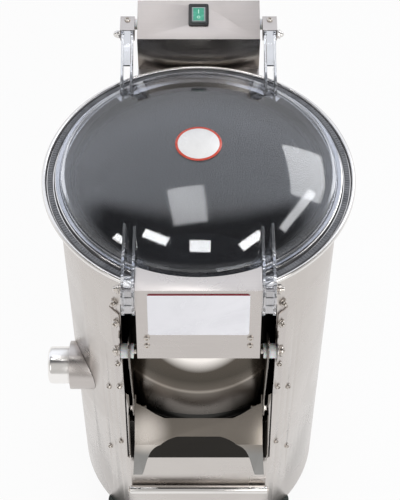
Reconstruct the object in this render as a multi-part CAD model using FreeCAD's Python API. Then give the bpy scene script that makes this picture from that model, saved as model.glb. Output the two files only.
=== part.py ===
import FreeCAD, Part
import math
import os

# Electric potato peeler: a stainless drum machine with a clear hinged lid, a front discharge door on
# two lever plates, a control box at the rear and a belt drive under the drum.
# The origin is on the drum axis at floor level. +Z is up, -Y is the front with the discharge chute.

V = FreeCAD.Vector
X_AXIS = V(1, 0, 0)
Y_AXIS = V(0, 1, 0)
Z_AXIS = V(0, 0, 1)

# Driving dimensions, in millimetres
rim_z = 640.0
rim_r = 192.0
casing_r = 174.0
casing_t = 1.5
casing_bottom = 42.0
drum_r = 156.0
drum_t = 1.2
lining_t = 4.4
sheet_t = 1.5
gap = 0.3

lid_r = 174.5
dome_edge_r = 164.0
dome_edge_h = 13.0
dome_top_h = 50.0
lid_t = 3.0
rear_ear_x = 92.0
front_ear_x = 79.9
ear_half_w = 7.7
rib_t = 3.8

hinge_y = 220.0
hinge_z = rim_z + 45.0
hinge_r = 3.0
running = 0.05
clip_bolt_y = 203.0
clip_bolt_z = rim_z + 43.0

rod_y = -189.0
rod_z = rim_z + 9.0
rod_r = 3.0
latch_half_w = 71.6
latch_bend_y = -196.0
latch_top = rim_z + 15.0
latch_lean = 10.0
latch_len = 106.5

pivot_y = -158.0
pivot_z = rim_z - 154.0
pivot_r = 4.0
lever_in_x = 84.3
lever_t = 2.0
lever_end_r = 25.0
tie_y = -146.0
tie_z = rim_z - 300.0
tie_r = 3.0

door_r = 158.2
door_half_w = 84.0
door_foot_half_w = 76.0
door_top = rim_z - 170.0
door_bottom = rim_z - 299.0
port_half_w = 73.0
port_top = rim_z - 176.0
port_bottom = rim_z - 296.0

guard_half_w = 83.8
guard_bend_y = -192.0
guard_bend_z = rim_z - 319.4
guard_leg = 77.0

open_top_z = rim_z - 75.0
open_bottom_z = rim_z - 432.0
open_top_half = 94.0
open_bottom_half = 99.5
chute_half_w = 93.0
sill_y = -178.0
sill_z = rim_z - 375.0
lip_rod_r = 6.0
lip_rod_z = rim_z - 450.0

box_half_w = 79.5
box_front_y = 194.0
box_back_y = 247.3
box_slope = 20.0
box_bend_z = rim_z + 42.5
box_bottom_z = rim_z - 270.0

pan_z = 300.0
disc_z = 344.0
disc_t = 8.0
disc_r = 147.0
shaft_r = 12.0
big_pulley_r = 70.0
motor_pulley_r = 28.0
belt_z = 214.0
motor_y = 108.0
motor_r = 56.0

spout_r = 25.5
spout_y = -71.0
spout_z = rim_z - 310.0
spout_end_x = -204.0
spout_neck_x = -176.5

foot_pcd = 331.0
foot_r = 19.0
foot_hole_r = 4.5

nodes = {}


def cyl(radius, length, base, axis=Z_AXIS):
    return Part.makeCylinder(radius, length, base, axis)


def ring(outer, inner, length, base, axis=Z_AXIS):
    return cyl(outer, length, base, axis).cut(cyl(inner, length, base, axis))


def block(x0, x1, y0, y1, z0, z1):
    return Part.makeBox(x1 - x0, y1 - y0, z1 - z0, V(x0, y0, z0))


def fused(shapes):
    out = shapes[0]
    for s in shapes[1:]:
        out = out.fuse(s)
    return out.removeSplitter()


def outward(solid):
    """The solid with its faces turned outward."""
    if solid.Volume < 0:
        solid.reverse()
    return solid


def group(shapes):
    return Part.makeCompound(shapes)


def revolved(points):
    """Solid of revolution about the drum axis from (radius, height above the rim) points."""
    edges = [V(r, 0, rim_z + h) for r, h in points]
    wire = Part.makePolygon(edges + [edges[0]])
    return outward(Part.Face(wire).revolve(V(0, 0, 0), Z_AXIS, 360))


def side_plate(points, x0, x1):
    """Flat plate from (y, z) points, between two x values."""
    pts = [V(x0, y, z) for y, z in points]
    wire = Part.makePolygon(pts + [pts[0]])
    return Part.Face(wire).extrude(V(x1 - x0, 0, 0))


def hexagon(across_flats, length, base, axis):
    """Hexagonal prism that stands on base along axis."""
    radius = across_flats / math.sqrt(3)
    pts = [V(radius * math.cos(math.radians(60 * i)), radius * math.sin(math.radians(60 * i)), 0)
           for i in range(6)]
    prism = Part.Face(Part.makePolygon(pts + [pts[0]])).extrude(V(0, 0, length))
    prism.Placement = FreeCAD.Placement(base, FreeCAD.Rotation(Z_AXIS, axis))
    return prism


def mirrored(shape):
    return shape.mirror(V(0, 0, 0), X_AXIS)


def pair(shape):
    return [shape, mirrored(shape)]


def front_y(x, radius):
    return -math.sqrt(radius * radius - x * x)


def make_casing():
    shell = ring(casing_r, casing_r - casing_t, rim_z - 7.8 - casing_bottom, V(0, 0, casing_bottom))
    corners = [V(-open_bottom_half, -300, open_bottom_z), V(open_bottom_half, -300, open_bottom_z),
               V(open_top_half, -300, open_top_z), V(-open_top_half, -300, open_top_z)]
    opening = Part.Face(Part.makePolygon(corners + [corners[0]])).extrude(V(0, 300, 0))
    shell = shell.cut(opening)
    shell = shell.cut(cyl(spout_r + gap, 200, V(-300, spout_y, spout_z), X_AXIS))
    nodes["outer_casing"] = shell


def make_rim():
    nodes["rim_ring"] = revolved([
        (drum_r + gap, 0), (176, 0), (177.2, -5), (185.5, -5), (186.5, -1), (188.5, 0), (191, -1),
        (rim_r, -3.5), (191, -6), (189, -7.5), (172.3, -7.5), (172.3, -20), (171, -20), (171, -1.5),
        (drum_r + gap, -1.5)])
    nodes["rim_band"] = revolved([(178, -4.9), (185, -4.9), (184.2, -1.4), (178.8, -1.4)])


def port_block(half_w, top, bottom):
    return block(-half_w, half_w, -200, -100, bottom, top)


def make_drum():
    wall = ring(drum_r, drum_r - drum_t, rim_z - pan_z, V(0, 0, pan_z))
    wall = wall.cut(port_block(port_half_w, port_top, port_bottom))
    wall = wall.cut(cyl(spout_r + gap, 200, V(-300, spout_y, spout_z), X_AXIS))
    nodes["inner_drum"] = wall
    inner = drum_r - drum_t - 0.2
    lining = ring(inner, inner - lining_t, rim_z - 14 - disc_z, V(0, 0, disc_z))
    nodes["abrasive_lining"] = lining.cut(port_block(port_half_w, port_top, port_bottom))
    pan = cyl(casing_r - casing_t - gap, 2, V(0, 0, pan_z - 2.3))
    mouth = ring(200, drum_r + 0.5, 40, V(0, 0, pan_z - 20)).common(block(-95, 95, -200, -100, 0, rim_z))
    notch = ring(200, 170.3, 40, V(0, 0, pan_z - 20)).common(block(-132, 132, -200, -105, 0, rim_z))
    notch = notch.fuse(mouth)
    nodes["drum_floor"] = pan.cut(cyl(shaft_r + 8, 20, V(0, 0, pan_z - 10))).cut(notch)
    nodes["base_plate"] = cyl(casing_r - casing_t - gap, 3, V(0, 0, casing_bottom)).cut(
        group([cyl(4.2, 20, foot_centre(i, casing_bottom - 5)) for i in range(4)]))


def make_disc():
    plate = cyl(disc_r, disc_t, V(0, 0, disc_z))
    ridges = []
    for i in range(3):
        ridge = cyl(14, disc_r - 40, V(27, 0, disc_z + disc_t - 8), X_AXIS)
        ridge = ridge.common(block(0, 200, -20, 20, disc_z + disc_t - 2, disc_z + disc_t + 20))
        ridge.rotate(V(0, 0, 0), Z_AXIS, 120 * i + 30)
        ridges.append(ridge)
    hub = cyl(24, 14, V(0, 0, disc_z - 14))
    disc = fused([plate] + ridges + [hub])
    nodes["abrasive_disc"] = disc.cut(cyl(shaft_r, 60, V(0, 0, disc_z - 20)))
    cap = Part.makeSphere(11, V(0, 0, disc_z + disc_t + 7)).cut(cyl(20, 20, V(0, 0, disc_z + disc_t - 18)))
    nut = fused([hexagon(26, 8, V(0, 0, disc_z + disc_t + 0.2), Z_AXIS), cap])
    nodes["disc_nut"] = nut.cut(cyl(10, 9, V(0, 0, disc_z + disc_t - 1)))


def make_drive():
    shaft = fused([cyl(shaft_r, disc_z + disc_t - 196, V(0, 0, 196)),
                   cyl(9.95, 8, V(0, 0, disc_z + disc_t - 0.1))])
    nodes["drive_shaft"] = shaft
    nodes["bearing_housing"] = fused([
        ring(62, 27.05, 8, V(0, 0, pan_z - 10.4)), ring(36, 27.05, 58, V(0, 0, pan_z - 68))])
    bearings = [ring(27, 12.05, 15, V(0, 0, z)) for z in (pan_z - 66, pan_z - 28)]
    nodes["shaft_bearings"] = group(bearings)
    nodes["shaft_seal"] = ring(shaft_r + 7.8, shaft_r + 0.06, 7, V(0, 0, pan_z - 6))
    nodes["drum_pulley"] = pulley(big_pulley_r, shaft_r, 0)
    nodes["motor_pulley"] = pulley(motor_pulley_r, 7.03, motor_y)
    nodes["motor_shaft"] = cyl(7, 70, V(0, motor_y, belt_z - 58))
    nodes["drive_belt"] = belt()
    body = ring(motor_r, 7.6, 106, V(0, motor_y, 84))
    fins = []
    for i in range(24):
        fin = block(motor_r - 1, motor_r + 4, -1, 1, 96, 178)
        fin.rotate(V(0, 0, 0), Z_AXIS, 15 * i)
        fin.translate(V(0, motor_y, 0))
        fins.append(fin)
    nodes["motor"] = fused([body] + fins)
    plate = block(-70, 70, 34, 154, 190.3, 194.3)
    hangers = [block(x, x + 3, 34, 60, 194.3, pan_z - 2.6) for x in (-72, 69)]
    plate = plate.fuse(block(-72, 72, 34, 60, 190.3, 194.3))
    nodes["motor_plate"] = fused([plate] + hangers).cut(cyl(12, 20, V(0, motor_y, 180)))


def pulley(radius, bore, y):
    base = belt_z - 10
    body = cyl(radius, 20, V(0, y, base))
    groove = [(radius - 8, -5), (radius + 1, -8), (radius + 1, 8), (radius - 8, 5)]
    pts = [V(r, 0, belt_z + h) for r, h in groove]
    cut = Part.Face(Part.makePolygon(pts + [pts[0]])).revolve(V(0, 0, 0), Z_AXIS, 360)
    cut.translate(V(0, y, 0))
    return body.cut(cut).cut(cyl(bore, 30, V(0, y, base - 5)))


def belt():
    inner_big = big_pulley_r - 5.5
    inner_small = motor_pulley_r - 5.5
    out = []
    for grow in (7.0, 0.0):
        ra = inner_big + grow
        rb = inner_small + grow
        lean = math.acos((ra - rb) / motor_y)
        flat = [(ra * math.sin(lean), ra * math.cos(lean)),
                (rb * math.sin(lean), motor_y + rb * math.cos(lean)),
                (-rb * math.sin(lean), motor_y + rb * math.cos(lean)),
                (-ra * math.sin(lean), ra * math.cos(lean))]
        pts = [V(x, y, belt_z - 4) for x, y in flat]
        web = Part.Face(Part.makePolygon(pts + [pts[0]])).extrude(V(0, 0, 8))
        out.append(fused([web, cyl(ra, 8, V(0, 0, belt_z - 4)), cyl(rb, 8, V(0, motor_y, belt_z - 4))]))
    return out[0].cut(out[1])


def foot_centre(i, z):
    a = math.radians(45 + 90 * i)
    return V(foot_pcd / 2 * math.cos(a), foot_pcd / 2 * math.sin(a), z)


def make_feet():
    feet = []
    bolts = []
    for i in range(4):
        c = foot_centre(i, 0)
        cone = Part.makeCone(foot_r + 3, foot_r, casing_bottom - 0.3, c, Z_AXIS)
        foot = cone.cut(cyl(foot_hole_r, 14, c)).cut(cyl(4.1, 60, c))
        feet.append(foot)
        up = foot_centre(i, 15)
        bolts.append(fused([cyl(4, 38, up), hexagon(11, 6, foot_centre(i, casing_bottom + 3.1), Z_AXIS)]))
    nodes["rubber_feet"] = group(feet)
    nodes["foot_bolts"] = group(bolts)


def dome_z(radius, inset=0.0):
    sphere = (dome_edge_r ** 2 + (dome_top_h - dome_edge_h) ** 2) / (2 * (dome_top_h - dome_edge_h))
    return dome_top_h - sphere + math.sqrt((sphere - inset) ** 2 - radius ** 2)


def lid_profile_face():
    def at(r, h):
        return V(r, 0, rim_z + h)
    inner_r = dome_edge_r - 3
    outer_arc = Part.Arc(at(0, dome_top_h), at(85, dome_z(85)), at(dome_edge_r, dome_edge_h)).toShape()
    inner_arc = Part.Arc(at(inner_r, dome_z(inner_r, lid_t)), at(85, dome_z(85, lid_t)),
                         at(0, dome_top_h - lid_t)).toShape()
    rim_pts = [at(dome_edge_r, dome_edge_h), at(168, 9.5), at(169, 3.6), at(lid_r, 3.3), at(lid_r, gap),
               at(166, gap), at(165, 6.5), at(inner_r, dome_z(inner_r, lid_t))]
    lines = [Part.makeLine(a, b) for a, b in zip(rim_pts, rim_pts[1:])]
    axis_line = Part.makeLine(at(0, dome_top_h - lid_t), at(0, dome_top_h))
    return Part.Face(Part.Wire([outer_arc] + lines + [inner_arc, axis_line]))


def lid_core():
    """Ball and disc that fill the lid up to the middle of its wall, used to trim the ear ribs."""
    sphere = (dome_edge_r ** 2 + (dome_top_h - dome_edge_h) ** 2) / (2 * (dome_top_h - dome_edge_h))
    ball = Part.makeSphere(sphere - 1.5, V(0, 0, rim_z + dome_top_h - sphere))
    return ball.common(cyl(168, 90, V(0, 0, rim_z - 20))).fuse(cyl(167, 28, V(0, 0, rim_z - 20)))


def make_lid():
    dome = lid_profile_face().revolve(V(0, 0, 0), Z_AXIS, 360)
    front_rib = [(-102, 8), (-102, 25), (-112, 26.5), (-145, 25), (-186, 22), (-197, 20), (-204, 12), (-206, 0),
                 (-206, -15), (-203, -22), (-197, -17), (-184, -11), (-181, 3.6), (-150, 3.6)]
    front_web = [(-180, 22), (-186, 22), (-197, 20), (-204, 12), (-206, 0), (-206, -15), (-203.6, -15),
                 (-203.6, 0), (-201.8, 11), (-195.8, 17.8), (-185.6, 19.6), (-180, 19.6)]
    rear_rib = [(118, 10), (118, 21), (150, 27), (185, 42), (203, 53.5), (226, 53.5), (229, 47),
                (225, 40), (205, 37), (190, 28), (176, 9), (150, 3.6)]
    rear_web = [(158, 30.4), (185, 42), (203, 53.5), (226, 53.5), (226, 51), (203.8, 51), (186, 39.6),
                (158, 27.8)]
    parts = [dome]
    core = lid_core()
    for centre, rib, web in ((front_ear_x, front_rib, front_web), (rear_ear_x, rear_rib, rear_web)):
        rib = [(y, rim_z + h) for y, h in rib]
        web = [(y, rim_z + h) for y, h in web]
        inner_x = centre - ear_half_w
        outer_x = centre + ear_half_w
        ear = [side_plate(rib, inner_x, inner_x + rib_t), side_plate(rib, outer_x - rib_t, outer_x),
               side_plate(web, inner_x + rib_t - 0.5, outer_x - rib_t + 0.5)]
        for piece in ear:
            parts += pair(piece.cut(core))
    lid = fused(parts)
    lid = lid.cut(cyl(rod_r + running, 240, V(-120, rod_y, rod_z), X_AXIS))
    lid = lid.cut(cyl(hinge_r + running, 240, V(-120, hinge_y, hinge_z), X_AXIS))
    lid = lid.cut(cyl(2.6, 240, V(-120, clip_bolt_y, clip_bolt_z), X_AXIS))
    nodes["clear_lid"] = lid
    sticker = cyl(28, 3, V(0, 0, rim_z + dome_top_h - 1.5))
    shell = revolved([(0, dome_top_h + 0.1), (30, dome_z(30) + 0.1), (30, dome_z(30) + 0.5),
                      (0, dome_top_h + 0.5)])
    nodes["lid_sticker"] = shell.common(sticker)


def make_lid_hardware():
    inner_x = rear_ear_x - ear_half_w - 0.2
    outer_x = rear_ear_x + ear_half_w + 0.2
    y0 = 197.0
    y1 = 224.0
    top = rim_z + 53.7
    legs = [block(inner_x - 1.4, inner_x, y0, y1, rim_z + 37.5, top + 1.4),
            block(outer_x, outer_x + 1.4, y0, y1, rim_z + 37.5, top + 1.4)]
    clip = fused(legs + [block(inner_x - 1.4, outer_x + 1.4, y0, y1, top, top + 1.4)])
    clip = clip.cut(cyl(hinge_r + running, 60, V(70, hinge_y, hinge_z), X_AXIS))
    clip = clip.cut(cyl(2.6, 60, V(70, clip_bolt_y, clip_bolt_z), X_AXIS))
    nodes["ear_clips"] = group(pair(clip))
    bolt = fused([cyl(2.5, outer_x - inner_x + 8, V(inner_x - 1.5, clip_bolt_y, clip_bolt_z), X_AXIS),
                  cyl(4.6, 1.2, V(inner_x - 2.6, clip_bolt_y, clip_bolt_z), X_AXIS),
                  hexagon(10, 5, V(outer_x + 1.5, clip_bolt_y, clip_bolt_z), X_AXIS),
                  Part.makeSphere(4.6, V(outer_x + 6.5, clip_bolt_y, clip_bolt_z))])
    nodes["clip_bolts"] = group(pair(bolt))
    screw = cyl(4.2, 2.2, V(rear_ear_x, 217, top + 1.5))
    nodes["clip_screws"] = group(pair(screw))
    pin = fused([cyl(hinge_r, 14.2, V(74.4, hinge_y, hinge_z), X_AXIS),
                 hexagon(8.3, 4.6, V(73.0, hinge_y, hinge_z), X_AXIS),
                 cyl(5.3, 3.2, V(88.3, hinge_y, hinge_z), X_AXIS)])
    nodes["hinge_bolts"] = group(pair(pin))
    bush = ring(7, hinge_r + 0.05, inner_x - 1.4 - box_half_w - 0.4, V(box_half_w + 0.2, hinge_y, hinge_z),
                X_AXIS)
    nodes["hinge_bushes"] = group(pair(bush))
    outer = front_ear_x + ear_half_w
    rod = [cyl(rod_r, 2 * outer + 18, V(-outer - 9, rod_y, rod_z), X_AXIS)]
    nodes["latch_rod"] = rod[0]
    nut = hexagon(10, 5, V(outer + 0.3, rod_y, rod_z), X_AXIS).cut(
        cyl(rod_r, 10, V(outer, rod_y, rod_z), X_AXIS))
    nodes["rod_nuts"] = group(pair(nut))


def latch_point(along, off=0.0):
    """Point on the leaning latch plate: distance down from the bend and out from its back."""
    a = math.radians(latch_lean)
    return (latch_bend_y - along * math.sin(a) - off * math.cos(a),
            latch_top - along * math.cos(a) + off * math.sin(a))


def make_latch():
    back = latch_top - sheet_t
    flange = block(-latch_half_w, latch_half_w, latch_bend_y, -150, back, latch_top)
    flange = flange.cut(cyl(lid_r + 2, 40, V(0, 0, rim_z)))
    hang = side_plate([latch_point(0, 0), latch_point(latch_len, 0), latch_point(latch_len, -sheet_t),
                       latch_point(0, -sheet_t)], -latch_half_w, latch_half_w)
    tab = side_plate([(latch_bend_y, latch_top - 0.2), (-180, latch_top - 0.2), (-180, rod_z - 6),
                      (-190, rod_z - 8), latch_point(16, -0.5), latch_point(0, -0.5)],
                     latch_half_w - sheet_t, latch_half_w)
    tab = tab.cut(cyl(rod_r + running, 200, V(-100, rod_y, rod_z), X_AXIS))
    plate = fused([flange, hang] + pair(tab))
    label = rounded_plate(116.4, 63, 3, 0.8)
    label.Placement = FreeCAD.Placement(V(0, *latch_point(36.3, 0.15)), FreeCAD.Rotation(X_AXIS, 90 - latch_lean))
    nodes["label_plate"] = label
    screws = []
    blocks = []
    a = math.radians(latch_lean)
    out = V(0, -math.cos(a), math.sin(a))
    for x in (-60, 60):
        body = side_plate([latch_point(69, -sheet_t - 0.2), latch_point(90, -sheet_t - 0.2),
                           (-168, rim_z - 71), (-168, rim_z - 53)], x - 9, x + 9)
        for along in (74, 86):
            y, z = latch_point(along, -12)
            shank = cyl(1.7, 12.3, V(x, y, z), out)
            y, z = latch_point(along, 0.2)
            screws.append(fused([shank, cyl(3.6, 1.8, V(x, y, z), out)]))
            y, z = latch_point(along, -14)
            hole = cyl(1.8, 16, V(x, y, z), out)
            plate = plate.cut(hole)
            body = body.cut(hole)
        blocks.append(body)
    nodes["latch_plate"] = plate
    nodes["latch_screws"] = group(screws)
    nodes["latch_blocks"] = group(blocks)


def rounded_plate(width, height, radius, thick):
    """Plate in XY with rounded corners, centred, from z 0 to thick."""
    body = Part.makeBox(width, height, thick, V(-width / 2, -height / 2, 0))
    edges = [e for e in body.Edges if abs(e.tangentAt(e.FirstParameter).z) > 0.99]
    return body.makeFillet(radius, edges)


def lever_side():
    """Lever plate outline: a round end about the pivot and an arm down to the tie bolt."""
    head = cyl(lever_end_r, lever_t, V(lever_in_x, pivot_y, pivot_z), X_AXIS)
    head = head.cut(block(0, 200, -260, -171, 0, rim_z))
    arm = [(-133.2, pivot_z + 4), (-171, pivot_z + 6), (-170.5, pivot_z - 8), (-149, rim_z - 276),
           (-157.6, tie_z + 2), (tie_y, tie_z - 6), (-134.6, tie_z + 2), (-133.2, rim_z - 276)]
    foot = cyl(11.6, lever_t, V(lever_in_x, tie_y, tie_z), X_AXIS)
    return fused([head, side_plate(arm, lever_in_x, lever_in_x + lever_t), foot])


def make_door():
    lever = lever_side()
    lever = lever.cut(cyl(pivot_r + running, 40, V(70, pivot_y, pivot_z), X_AXIS))
    lever = lever.cut(cyl(3.05, 40, V(70, tie_y, tie_z), X_AXIS))
    nodes["side_levers"] = group(pair(lever))
    sheet = ring(door_r, door_r - sheet_t, door_top - door_bottom, V(0, 0, door_bottom))
    outline = [V(-door_half_w, -200, door_top), V(door_half_w, -200, door_top),
               V(door_half_w, -200, rim_z - 235), V(door_foot_half_w, -200, door_bottom),
               V(-door_foot_half_w, -200, door_bottom), V(-door_half_w, -200, rim_z - 235)]
    outline = Part.Face(Part.makePolygon(outline + [outline[0]])).extrude(V(0, 110, 0))
    nodes["door_plate"] = sheet.common(outline)
    bush = ring(9.5, pivot_r + running, 4.0, V(lever_in_x - 4.2, pivot_y, pivot_z), X_AXIS)
    nodes["inner_bushes"] = group(pair(bush))
    tie = fused([cyl(3, 20, V(70, tie_y, tie_z), X_AXIS),
                 cyl(5, 3.4, V(lever_in_x + lever_t + 0.2, tie_y, tie_z), X_AXIS),
                 hexagon(10, 5, V(76.8, tie_y, tie_z), X_AXIS)])
    nodes["tie_bolts"] = group(pair(tie))


def make_guard():
    slope = math.radians(39.3)
    dy = math.cos(slope)
    dz = math.sin(slope)
    def at(along, depth):
        return (guard_bend_y + along * dy + depth * dz, guard_bend_z + along * dz - depth * dy)
    top = side_plate([at(0, 0), at(80, 0), at(80, sheet_t), at(0, sheet_t)], -guard_half_w, guard_half_w)
    brim = [(45, -164.9), (57, -160.7), (72, -153.5), (90, -146.8), (90, -100)]
    brim = [V(x, y, rim_z - 400) for x, y in brim + [(-x, y) for x, y in reversed(brim)]]
    top = top.cut(Part.Face(Part.makePolygon(brim + [brim[0]])).extrude(V(0, 0, 200)))
    foot = guard_bend_z - guard_leg
    legs = [V(-guard_half_w, guard_bend_y, guard_bend_z), V(guard_half_w, guard_bend_y, guard_bend_z),
            V(guard_half_w + 5, guard_bend_y, foot), V(-guard_half_w - 5, guard_bend_y, foot)]
    legs = Part.Face(Part.makePolygon(legs + [legs[0]])).extrude(V(0, sheet_t, 0))
    tab = [at(12, 0.2), at(66, 0.2), (-136, rim_z - 287), (-136, tie_z - 8), (-146, rim_z - 313.5),
           (-170, rim_z - 313.5)]
    tab = side_plate(tab, guard_half_w - sheet_t, guard_half_w)
    shape = fused([top, legs] + pair(tab))
    half = [(28, -312.5), (41, -315.5), (53, -321.5), (62, -334), (67.5, -352), (72, -376), (78, -402)]
    pts = [V(x, -230, rim_z + h) for x, h in half]
    left = [V(-p.x, p.y, p.z) for p in reversed(pts)]
    curve = Part.BSplineCurve()
    curve.interpolate(pts)
    mirror_curve = Part.BSplineCurve()
    mirror_curve.interpolate(left)
    wire = Part.Wire([curve.toShape(), Part.makeLine(pts[-1], left[0]), mirror_curve.toShape(),
                      Part.makeLine(left[-1], pts[0])])
    shape = shape.cut(Part.Face(wire).extrude(V(0, 120, 0)))
    nodes["guard_sheet"] = shape.cut(cyl(3.05, 240, V(-120, tie_y, tie_z), X_AXIS))


def radial_screw(x, height, head=5.0, seat=casing_r):
    """Hex screw through the casing wall at x and height, with a nut inside."""
    y = front_y(x, casing_r)
    n = V(x, y, 0).normalize()
    z = rim_z + height
    shank = cyl(2.0, 8 + seat - casing_r, V(n.x * 167, n.y * 167, z), n)
    cap = hexagon(8, 3, V(n.x * (seat + 0.2), n.y * (seat + 0.2), z), n)
    nut = ring(3.6, 1.9, 2.6, V(n.x * 167.6, n.y * 167.6, z), n)
    return fused([shank, cap, nut])


screw_spots = [(101, -77, 0), (99.5, -115, 1), (102, -205, 1), (102.4, -257, 1), (118.4, -278, 0),
               (107.6, -400, 0), (124.9, -438, 0)]


def drill_screws(shape):
    for x, height, _ in screw_spots:
        n = V(x, front_y(x, casing_r), 0).normalize()
        hole = cyl(2.1, 16, V(n.x * 164, n.y * 164, rim_z + height), n)
        shape = shape.cut(group(pair(hole)))
    return shape


def make_edges():
    outer = casing_r + 0.2 + 1.6
    strip = ring(outer, casing_r + 0.2, 180, V(0, 0, rim_z - 270))
    outline = [V(96.6, -200, rim_z - 96), V(108, -200, rim_z - 90), V(108, -200, rim_z - 262),
               V(102, -200, rim_z - 270), V(96.6, -200, rim_z - 270)]
    outline = Part.Face(Part.makePolygon(outline + [outline[0]])).extrude(V(0, 80, 0))
    strip = strip.common(outline)
    leg = cyl(14, 1.6, V(96.6, pivot_y, pivot_z), X_AXIS)
    leg = leg.fuse(block(96.6, 98.2, pivot_y, -145.2, pivot_z - 26, pivot_z + 26))
    leg = leg.fuse(side_plate([(pivot_y, pivot_z + 14), (-147, pivot_z + 26), (-147, pivot_z - 26),
                               (pivot_y, pivot_z - 14)], 96.6, 98.2))
    leg = leg.cut(block(90, 110, -170, pivot_y + 0.01, pivot_z + 14, pivot_z + 40))
    leg = leg.cut(block(90, 110, -170, pivot_y + 0.01, pivot_z - 40, pivot_z - 14))
    inside = cyl(casing_r + 0.2, rim_z, V(0, 0, 0))
    edge = fused([strip, leg.cut(inside)])
    edge = edge.cut(cyl(pivot_r, 40, V(80, pivot_y, pivot_z), X_AXIS))
    nodes["edge_brackets"] = drill_screws(group(pair(edge)))
    bush = ring(9.5, pivot_r + running, 9.8, V(lever_in_x + lever_t + 0.2, pivot_y, pivot_z), X_AXIS)
    nodes["outer_bushes"] = group(pair(bush))
    bolt = fused([cyl(pivot_r, 29, V(77, pivot_y, pivot_z), X_AXIS),
                  cyl(6.6, 3, V(76.8, pivot_y, pivot_z), X_AXIS),
                  hexagon(13, 5.5, V(98.4, pivot_y, pivot_z), X_AXIS)])
    nodes["pivot_bolts"] = group(pair(bolt))
    screws = []
    for x, height, on_strip in screw_spots:
        seat = outer if on_strip else casing_r
        screws += pair(radial_screw(x, height, seat=seat))
    nodes["casing_screws"] = group(screws)
    nodes["outer_casing"] = drill_screws(nodes["outer_casing"])


def make_chute():
    ledge_z = rim_z - 316
    half = chute_half_w
    slide = side_plate([(-157.5, ledge_z), (sill_y, sill_z), (sill_y, rim_z - 459),
                        (sill_y + sheet_t, rim_z - 459), (sill_y + sheet_t, sill_z - 1),
                        (-156, ledge_z - sheet_t)], -half, half)
    ledge = block(-half, half, -157.6, -122, ledge_z - sheet_t, ledge_z)
    ledge = ledge.cut(cyl(drum_r + 1.0, rim_z, V(0, 0, 0)))
    cheek = side_plate([(-157.5, ledge_z + 14), (sill_y, sill_z + 6), (sill_y, rim_z - 459),
                        (-143, rim_z - 459), (-129, ledge_z - 10), (-129, ledge_z + 14)],
                       half - sheet_t, half)
    flange = ring(172.2, 170.7, 185, V(0, 0, rim_z - 456))
    flange = flange.common(block(half - sheet_t, 128, -200, -60, 0, rim_z))
    tray = fused([slide, ledge] + pair(cheek) + pair(flange))
    rod_y0 = sill_y - lip_rod_r
    tray = tray.cut(block(-200, 200, -300, 0, rim_z - 560, rim_z - 458.9))
    sill = ring(200, casing_r - casing_t - gap, 60, V(0, 0, open_bottom_z + gap - 60))
    sill = sill.common(block(-200, 200, -175.9, 0, 0, rim_z))
    nodes["chute_tray"] = drill_screws(tray.cut(sill))
    rod = cyl(lip_rod_r, 190, V(-95, rod_y0 - 0.1, lip_rod_z), X_AXIS)
    rod = rod.cut(group(pair(cyl(2.0, 14, V(82, rod_y0 - 0.1, lip_rod_z), X_AXIS))))
    nodes["chute_rod"] = rod
    screw = fused([cyl(1.95, 13, V(83, rod_y0 - 0.1, lip_rod_z), X_AXIS),
                   hexagon(8, 3, V(95.1, rod_y0 - 0.1, lip_rod_z), X_AXIS)])
    nodes["chute_screws"] = group(pair(screw))


def slope_place(along, lift=0.0):
    """Placement on the sloping top of the control box, along mm behind its front bend."""
    a = math.radians(box_slope)
    y = box_front_y + along * math.cos(a) - lift * math.sin(a)
    z = box_bend_z + along * math.sin(a) + lift * math.cos(a)
    return FreeCAD.Placement(V(0, y, z), FreeCAD.Rotation(X_AXIS, box_slope))


def box_profile(inset):
    rise = (box_back_y - box_front_y) * math.tan(math.radians(box_slope))
    lean = inset / math.cos(math.radians(box_slope))
    step = inset * math.tan(math.radians(box_slope))
    return [(100, box_bottom_z + inset), (box_back_y - inset, box_bottom_z + inset),
            (box_back_y - inset, box_bend_z + rise - lean - step),
            (box_front_y + inset, box_bend_z - lean + step), (box_front_y + inset, rim_z - 9 - inset),
            (100, rim_z - 9 - inset)]


def make_box():
    outer = side_plate(box_profile(0.0), -box_half_w, box_half_w)
    inner = side_plate(box_profile(sheet_t), -box_half_w + sheet_t, box_half_w - sheet_t)
    shell = outer.cut(inner).cut(cyl(casing_r + gap, rim_z + 100, V(0, 0, 0)))
    hole = rounded_plate(22.4, 27.4, 2, 12)
    hole.Placement = slope_place(35, -6)
    shell = shell.cut(hole)
    shell = shell.cut(cyl(hinge_r + running, 200, V(-100, hinge_y, hinge_z), X_AXIS))
    shell = shell.cut(cyl(8.2, 20, V(42, box_back_y - 10, box_bottom_z + 34), Y_AXIS))
    nodes["control_box"] = shell
    frame = rounded_plate(26, 31.5, 2.5, 2).fuse(rounded_plate(22, 27, 2, 16).translate(V(0, 0, -15.9)))
    frame = frame.cut(Part.makeBox(18.4, 25.4, 14, V(-9.2, -12.7, -12)))
    frame = frame.cut(cyl(1.25, 21, V(-10.5, 0, -3.5), X_AXIS))
    frame.Placement = slope_place(35, 0.1)
    nodes["switch_bezel"] = frame
    rocker = rocker_shape()
    rocker.Placement = slope_place(35, 0.1)
    nodes["switch_rocker"] = rocker
    gland = fused([cyl(8, 14, V(42, box_back_y - 8, box_bottom_z + 34), Y_AXIS),
                   hexagon(22, 5, V(42, box_back_y + 0.2, box_bottom_z + 34), Y_AXIS),
                   cyl(9.5, 14, V(42, box_back_y + 4, box_bottom_z + 34), Y_AXIS),
                   hexagon(22, 4, V(42, box_back_y - 6, box_bottom_z + 34), Y_AXIS)])
    nodes["cable_gland"] = gland.cut(cyl(4.5, 60, V(42, box_back_y - 20, box_bottom_z + 34), Y_AXIS))
    nodes["terminal_block"] = fused([block(-52, 8, box_back_y - 20, box_back_y - 1.8, 410, 432)] + [
        block(-51 + 12 * i, -43 + 12 * i, box_back_y - 26, box_back_y - 19, 413, 429) for i in range(5)])


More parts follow.
